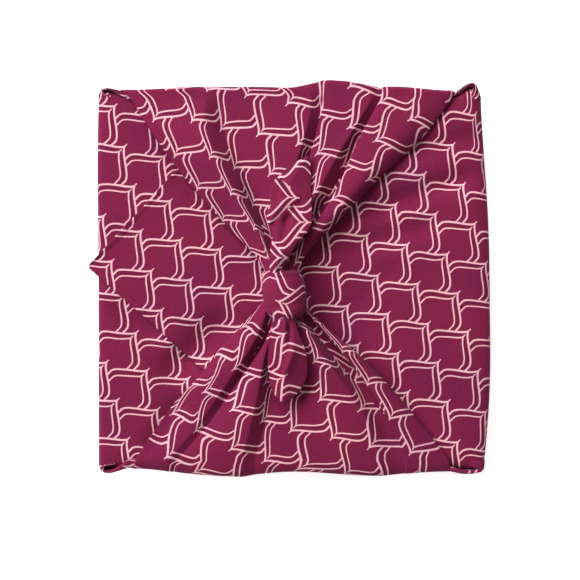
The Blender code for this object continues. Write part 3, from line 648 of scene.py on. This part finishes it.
# The tails: the two free corners of the cloth beyond the knot. Each is folded on itself into a
# flat leaf that lies on the gathered cloth and ends in the cloth's point.
TAILS = (
    dict(name="upper", print_at=(14.9, 40.4), points_to=0.0, sections=(
        dict(y=-4, left=-13.0, right=-6.0, z=84.6, crown=2.0, ridge=0.50),
        dict(y=4, left=-14.0, right=-8.6, z=86.2, crown=2.2, ridge=0.50),
        dict(y=9, left=-15.0, right=-6.2, z=87.2, crown=2.4, ridge=0.50),
        dict(y=15.6, left=-15.0, right=-0.6, z=87.6, crown=2.8, ridge=0.55),
        dict(y=21.5, left=-14.6, right=1.8, z=87.2, crown=3.0, ridge=0.55),
        dict(y=27, left=-12.6, right=6.4, z=86.4, crown=3.0, ridge=0.44),
        dict(y=36, left=-12.6, right=14.4, z=85.4, crown=3.0, ridge=0.36),
        dict(y=42, left=-17.4, right=15.2, z=84.0, crown=3.0, ridge=0.34),
        dict(y=47, left=-16.6, right=15.2, z=82.8, crown=3.0, ridge=0.34),
        dict(y=56, left=-13.6, right=15.0, z=81.0, crown=2.8, ridge=0.36),
        dict(y=65, left=-14.9, right=14.6, z=79.6, crown=2.4, ridge=0.42),
        dict(y=70, left=-11.0, right=14.5, z=79.2, crown=2.2, ridge=0.46),
        dict(y=75, left=-5.5, right=14.4, z=78.8, crown=1.8, ridge=0.50),
        dict(y=79, left=-3.2, right=14.2, z=78.5, crown=1.4, ridge=0.50),
        dict(y=83.6, left=4.6, right=13.9, z=78.2, crown=1.0, ridge=0.50),
        dict(y=87.4, left=12.4, right=13.4, z=78.0, crown=0.4, ridge=0.50),
    ), creases=(
        dict(start=(-0.4, 50), end=(-6.4, 20), width=3.2, depth=3.0),
        dict(start=(11.0, 56), end=(-9, 36), width=2.2, depth=1.5),
        dict(start=(14, 38), end=(1, 25), width=2.4, depth=-1.2),
        dict(start=(-13, 30), end=(-12, 10), width=2.0, depth=-1.0),
    )),
    dict(name="upper_turned", print_at=(6.7, 57.4), points_to=-4.0, sections=(
        dict(y=39.4, left=-16.4, right=-13.6, z=86.3, crown=0.4, ridge=0.50),
        dict(y=42, left=-17.2, right=-9.8, z=86.1, crown=1.2, ridge=0.50),
        dict(y=46, left=-16.7, right=-5.4, z=85.3, crown=2.0, ridge=0.50),
        dict(y=50, left=-14.6, right=-0.4, z=84.5, crown=2.6, ridge=0.50),
        dict(y=54, left=-13.9, right=4.6, z=83.7, crown=2.8, ridge=0.46),
        dict(y=57.4, left=-13.7, right=8.2, z=83.1, crown=2.8, ridge=0.42),
        dict(y=60.2, left=-14.4, right=6.2, z=82.7, crown=2.6, ridge=0.42),
        dict(y=64, left=-14.9, right=1.8, z=82.1, crown=2.4, ridge=0.44),
        dict(y=68.5, left=-12.6, right=-3.4, z=81.7, crown=1.8, ridge=0.50),
        dict(y=71.6, left=-9.8, right=-8.6, z=81.3, crown=0.6, ridge=0.50),
    ), creases=(
        dict(start=(-9.8, 67), end=(-8.4, 48), width=2.6, depth=1.3),
    )),
    dict(name="lower", print_at=(-2.0, -65.9), points_to=32.0, sections=(
        dict(y=-16, left=-9.0, right=2.0, z=84.4, crown=2.0, ridge=0.5),
        dict(y=-24, left=-11.4, right=2.4, z=85.8, crown=2.6, ridge=0.5),
        dict(y=-32, left=-12.6, right=3.6, z=86.6, crown=3.4, ridge=0.55),
        dict(y=-40, left=-14.4, right=6.8, z=86.4, crown=4.0, ridge=0.60),
        dict(y=-50, left=-16.0, right=11.2, z=85.4, crown=4.6, ridge=0.68),
        dict(y=-60, left=-16.2, right=12.2, z=83.0, crown=4.6, ridge=0.52),
        dict(y=-68, left=-15.0, right=11.8, z=81.4, crown=3.8, ridge=0.36),
        dict(y=-74, left=-14.2, right=9.4, z=80.4, crown=3.0, ridge=0.36),
        dict(y=-80.5, left=-12.4, right=5.0, z=79.6, crown=2.2, ridge=0.45),
        dict(y=-86.5, left=-5.6, right=-3.2, z=79.0, crown=0.6, ridge=0.45),
    ), creases=(
        dict(start=(-1.4, -28), end=(-0.8, -50), width=1.7, depth=3.6),
        dict(start=(-8.2, -24), end=(-9.4, -46), width=1.8, depth=1.5),
        dict(start=(3.4, -46), end=(-5.0, -70), width=2.2, depth=-1.3),
        dict(start=(-14, -63), end=(-4, -67), width=2.2, depth=1.0),
        dict(start=(-10, -84), end=(-7.6, -68), width=2.0, depth=0.9),
    )),
)
TAIL_STEPS = 4  # points of the sheet to each control row and column
LEAF = 1.4  # how thick the folded tail lies
for one in TAILS:
    rows = []
    for s in one["sections"]:
        left, right, z, crown, ridge = s["left"], s["right"], s["z"], s["crown"], s["ridge"]
        top_line = ((0.0, 0.5), (0.02, 1.1), (0.35 * ridge / 0.5, 0.55 * crown + LEAF),
                    (ridge - 0.03, crown + LEAF), (ridge + 0.03, crown + LEAF),
                    (between(ridge, 1, 0.5), 0.45 * crown + LEAF), (0.98, 1.1), (1.0, 0.5))
        low_line = ((0.98, 0.0), (0.5, 0.1), (0.02, 0.0), (0.0, 0.5))
        rows.append([(between(left, right, share), s["y"], z + lift)
                     for share, lift in top_line + low_line])
    controls = np.array(rows, float)
    if controls[0, 0, 1] > controls[-1, 0, 1]:
        controls = controls[::-1]
    place = soft_sheet(controls, TAIL_STEPS, TAIL_STEPS)
    flat = print_laid(place[..., 0], place[..., 1], one["print_at"], one["points_to"])
    face = (len(top_line) - 1) * TAIL_STEPS + 1
    place[:, :face] = press_creases(place[:, :face], one["creases"])
    lay_cloth("tail_" + one["name"], place, flat)

# The parts are joined into the one cloth. Once it has its print it is given its thickness inwards,
# away from the printed side.
bpy.ops.object.select_all(action="DESELECT")
for part in cloth_parts:
    part.select_set(True)
bpy.context.view_layer.objects.active = cloth_parts[0]
bpy.ops.object.join()
wrap = bpy.context.object
wrap.name = "furoshiki_wrap"
wrap.data.name = "furoshiki_wrap"

# Printed cotton: burgundy ground, and pale pink outlines of pointed scales in staggered rows that
# run corner-wise over the cloth, each scale with a second, finer line inside it.
PITCH = 50.0  # from scale to scale in a row, mm
ROW = 15.2  # from row to row
ROWS_SEEN = 3
SPUR_HALF = 0.42  # the fine spur at a scale's point is twice as wide
# Both outlines of a scale, mm: where each starts below the point, how far down it reaches its full
# width, half of that width, and how wide its line is
OUTLINES = dict(outer=dict(start=0.0, run=20.4, half=18.8, line=1.35),
                inner=dict(start=5.6, run=17.0, half=14.6, line=1.0))
GROUND = (0.194, 0.0118, 0.053, 1.0)
BETWEEN_LINES = (0.160, 0.0088, 0.041, 1.0)
PALE_LINE = (0.880, 0.470, 0.520, 1.0)

cotton = bpy.data.materials.new("printed_cotton")
cotton.use_nodes = True
nodes, links = cotton.node_tree.nodes, cotton.node_tree.links
shader = nodes["Principled BSDF"]


def sum_of(kind, a, b=None, c=None):
    """One step of arithmetic on sockets or numbers."""
    node = nodes.new("ShaderNodeMath")
    node.operation = kind
    for socket, value in zip(node.inputs, (a, b, c)):
        if value is None:
            continue
        if isinstance(value, (int, float)):
            socket.default_value = value
        else:
            links.new(value, socket)
    return node.outputs[0]


def mix_colour(share, one, other):
    node = nodes.new("ShaderNodeMix")
    node.data_type = "RGBA"
    links.new(share, node.inputs["Factor"])
    for socket, value in ((node.inputs[6], one), (node.inputs[7], other)):
        if isinstance(value, tuple):
            socket.default_value = value
        else:
            links.new(value, socket)
    return node.outputs[2]


on_cloth = nodes.new("ShaderNodeUVMap")
on_cloth.uv_map = "cloth"
apart = nodes.new("ShaderNodeSeparateXYZ")
links.new(on_cloth.outputs["UV"], apart.inputs["Vector"])
u, v = apart.outputs["X"], apart.outputs["Y"]


def noise_on_cloth(scale, detail):
    noise = nodes.new("ShaderNodeTexNoise")
    noise.inputs["Scale"].default_value = scale
    noise.inputs["Detail"].default_value = detail
    links.new(on_cloth.outputs["UV"], noise.inputs["Vector"])
    return noise.outputs["Fac"]


uneven = sum_of("MULTIPLY", sum_of("SUBTRACT", noise_on_cloth(45.0, 1.0), 0.5), 1.6)

slant = 1000.0 / math.sqrt(2)
across_print = sum_of("ADD", sum_of("MULTIPLY", sum_of("ADD", u, v), slant), uneven)
up_print = sum_of("ADD", sum_of("MULTIPLY", sum_of("SUBTRACT", v, u), slant), uneven)
across_print = sum_of("SUBTRACT", across_print, PRINT_START[0])
up_print = sum_of("SUBTRACT", up_print, PRINT_START[1])
row_above = sum_of("CEIL", sum_of("DIVIDE", up_print, ROW))


def depth_inside(outline, below, aside):
    """How far inside one outline of a scale a place lies: an ogee from its point to full width."""
    t = sum_of("DIVIDE", sum_of("SUBTRACT", below, outline["start"]), outline["run"])
    t = sum_of("MINIMUM", sum_of("MAXIMUM", t, 0.0), 1.0)
    eased = sum_of("SUBTRACT", 3.0, sum_of("MULTIPLY", t, 2.0))
    rise = sum_of("MULTIPLY", sum_of("MULTIPLY", t, t), eased)
    begun = sum_of("GREATER_THAN", below, outline["start"])
    spur = sum_of("MULTIPLY", begun, SPUR_HALF)
    half = sum_of("MAXIMUM", sum_of("MULTIPLY", rise, outline["half"]), spur)
    steepest = 6 * outline["half"] / outline["run"]
    slope = sum_of("MULTIPLY", sum_of("MULTIPLY", t, sum_of("SUBTRACT", 1.0, t)), steepest)
    level = sum_of("SQRT", sum_of("ADD", sum_of("MULTIPLY", slope, slope), 1.0))
    return sum_of("DIVIDE", sum_of("SUBTRACT", half, aside), level)


def line_at(depth, width):
    """1 on a printed line along an outline, fading over a quarter of a millimetre at its sides."""
    off = sum_of("ABSOLUTE", sum_of("SUBTRACT", depth, width / 2))
    fade = sum_of("DIVIDE", sum_of("SUBTRACT", width / 2 + 0.12, off), 0.25)
    return sum_of("MINIMUM", sum_of("MAXIMUM", fade, 0.0), 1.0)


# A scale lies over those above it, so the rows are asked from the nearest one up
lines = gap = None
for n in range(ROWS_SEEN):
    row = sum_of("ADD", row_above, float(n))
    below = sum_of("SUBTRACT", sum_of("MULTIPLY", row, ROW), up_print)
    stagger = sum_of("MULTIPLY", sum_of("FLOORED_MODULO", row, 2.0), PITCH / 2)
    shifted = sum_of("ADD", sum_of("SUBTRACT", across_print, stagger), PITCH / 2)
    aside = sum_of("ABSOLUTE", sum_of("SUBTRACT", sum_of("FLOORED_MODULO", shifted, PITCH), PITCH / 2))
    outer = depth_inside(OUTLINES["outer"], below, aside)
    inner = depth_inside(OUTLINES["inner"], below, aside)
    outer_line = line_at(outer, OUTLINES["outer"]["line"])
    drawn = sum_of("MAXIMUM", outer_line, line_at(inner, OUTLINES["inner"]["line"]))
    edge = sum_of("LESS_THAN", inner, 0.0)
    covers = sum_of("GREATER_THAN", outer, 0.0)
    if lines is None:
        lines, gap = sum_of("MULTIPLY", drawn, covers), sum_of("MULTIPLY", edge, covers)
        open_left = sum_of("SUBTRACT", 1.0, covers)
    else:
        shows = sum_of("MULTIPLY", covers, open_left)
        lines = sum_of("ADD", lines, sum_of("MULTIPLY", drawn, shows))
        gap = sum_of("ADD", gap, sum_of("MULTIPLY", edge, shows))
        open_left = sum_of("SUBTRACT", open_left, shows)
ground = mix_colour(sum_of("MULTIPLY", gap, 0.75), GROUND, BETWEEN_LINES)


def toned(colour, noise, low, high):
    """The colour multiplied by an uneven tone, from where and what its low and high ends are."""
    tone = nodes.new("ShaderNodeValToRGB")
    for element, (position, tint) in zip(tone.color_ramp.elements, (low, high)):
        element.position = position
        element.color = tint
    links.new(noise, tone.inputs["Fac"])
    mixed = nodes.new("ShaderNodeMix")
    mixed.data_type = "RGBA"
    mixed.blend_type = "MULTIPLY"
    mixed.inputs["Factor"].default_value = 1.0
    links.new(colour, mixed.inputs[6])
    links.new(tone.outputs["Color"], mixed.inputs[7])
    return mixed.outputs[2]


mottle = noise_on_cloth(16.0, 4.0)
slub = noise_on_cloth(620.0, 2.0)
printed = mix_colour(lines, ground, PALE_LINE)
mottled = toned(printed, mottle, (0.3, (0.86, 0.86, 1.0, 1)), (0.7, (1.08, 1.04, 1.0, 1)))
grained = toned(mottled, slub, (0.35, (0.90, 0.88, 0.92, 1)), (0.65, (1.08, 1.12, 1.06, 1)))
links.new(grained, shader.inputs["Base Color"])
shader.inputs["Roughness"].default_value = 0.85
shader.inputs["Specular IOR Level"].default_value = 0.12
shader.inputs["Sheen Weight"].default_value = 0.08
shader.inputs["Sheen Roughness"].default_value = 0.5
shader.inputs["Sheen Tint"].default_value = (0.75, 0.45, 0.85, 1.0)

THREADS = 1.0 / 0.00055  # to the metre
warp = sum_of("SINE", sum_of("MULTIPLY", u, 2 * math.pi * THREADS))
weft = sum_of("SINE", sum_of("MULTIPLY", v, 2 * math.pi * THREADS))
weave = sum_of("ADD", sum_of("MULTIPLY", warp, weft), sum_of("MULTIPLY", mottle, 3.0))
bump = nodes.new("ShaderNodeBump")
bump.inputs["Strength"].default_value = 0.25
bump.inputs["Distance"].default_value = 0.00012
links.new(weave, bump.inputs["Height"])
links.new(bump.outputs["Normal"], shader.inputs["Normal"])

SHEET = 0.0005  # how thick the cloth is made
wrap.data.materials.clear()
wrap.data.materials.append(cotton)
bpy.ops.object.select_all(action="DESELECT")
wrap.select_set(True)
bpy.context.view_layer.objects.active = wrap
thick = wrap.modifiers.new("cloth_thickness", "SOLIDIFY")
thick.thickness = SHEET
thick.offset = -1.0
bpy.ops.object.modifier_apply(modifier=thick.name)
bpy.ops.object.shade_smooth()

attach(wrap, "root")
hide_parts("furoshiki_cloth")

# The studio: a white floor without an edge in view, two large soft lights from the left and from
# the far side, a weak one over the wrap, and even white light from all round.
bpy.ops.object.select_all(action="DESELECT")
bpy.ops.mesh.primitive_plane_add(size=12.0, location=(0.0, 0.0, 0.0))
floor = bpy.context.object
floor.name = "floor"
paper = bpy.data.materials.new("white_floor")
paper.use_nodes = True
coat = paper.node_tree.nodes["Principled BSDF"]
coat.inputs["Base Color"].default_value = (0.93, 0.93, 0.93, 1.0)
coat.inputs["Roughness"].default_value = 0.9
coat.inputs["Emission Color"].default_value = (1.0, 1.0, 1.0, 1.0)
coat.inputs["Emission Strength"].default_value = 0.76
floor.data.materials.append(paper)

for name, place, size, power in (("window_light", (-2.32, 0.74, 2.03), 1.7, 80.0),
                                 ("second_window_light", (-0.87, 2.27, 2.03), 1.7, 77.0),
                                 ("top_light", (0.1, 0.3, 2.2), 1.6, 5.0)):
    lamp = bpy.data.lights.new(name, "AREA")
    lamp.size, lamp.energy = size, power
    hung = bpy.data.objects.new(name, lamp)
    bpy.context.scene.collection.objects.link(hung)
    hung.location = place
    away = np.array(place) / np.linalg.norm(place)
    hung.rotation_euler = (math.acos(away[2]), 0.0, math.atan2(away[1], away[0]) + math.pi / 2)
world = bpy.data.worlds.new("studio")
world.use_nodes = True
world.node_tree.nodes["Background"].inputs["Color"].default_value = (1.0, 1.0, 1.0, 1.0)
world.node_tree.nodes["Background"].inputs["Strength"].default_value = 0.17
bpy.context.scene.world = world
bpy.context.scene.view_settings.view_transform = "Standard"

# The camera hangs straight above the wrap with its top edge towards +Y.
VIEW_WIDTH = 0.4112  # what it sees from side to side at the wrap's top, m
ABOVE = 1.6
FILM = 36.0
camera = bpy.data.cameras.new("camera")
camera.sensor_width = FILM
camera.lens = FILM * ABOVE / VIEW_WIDTH
eye = bpy.data.objects.new("camera", camera)
bpy.context.scene.collection.objects.link(eye)
eye.location = (-0.0004, -0.0071, 0.067 + ABOVE)
bpy.context.scene.camera = eye
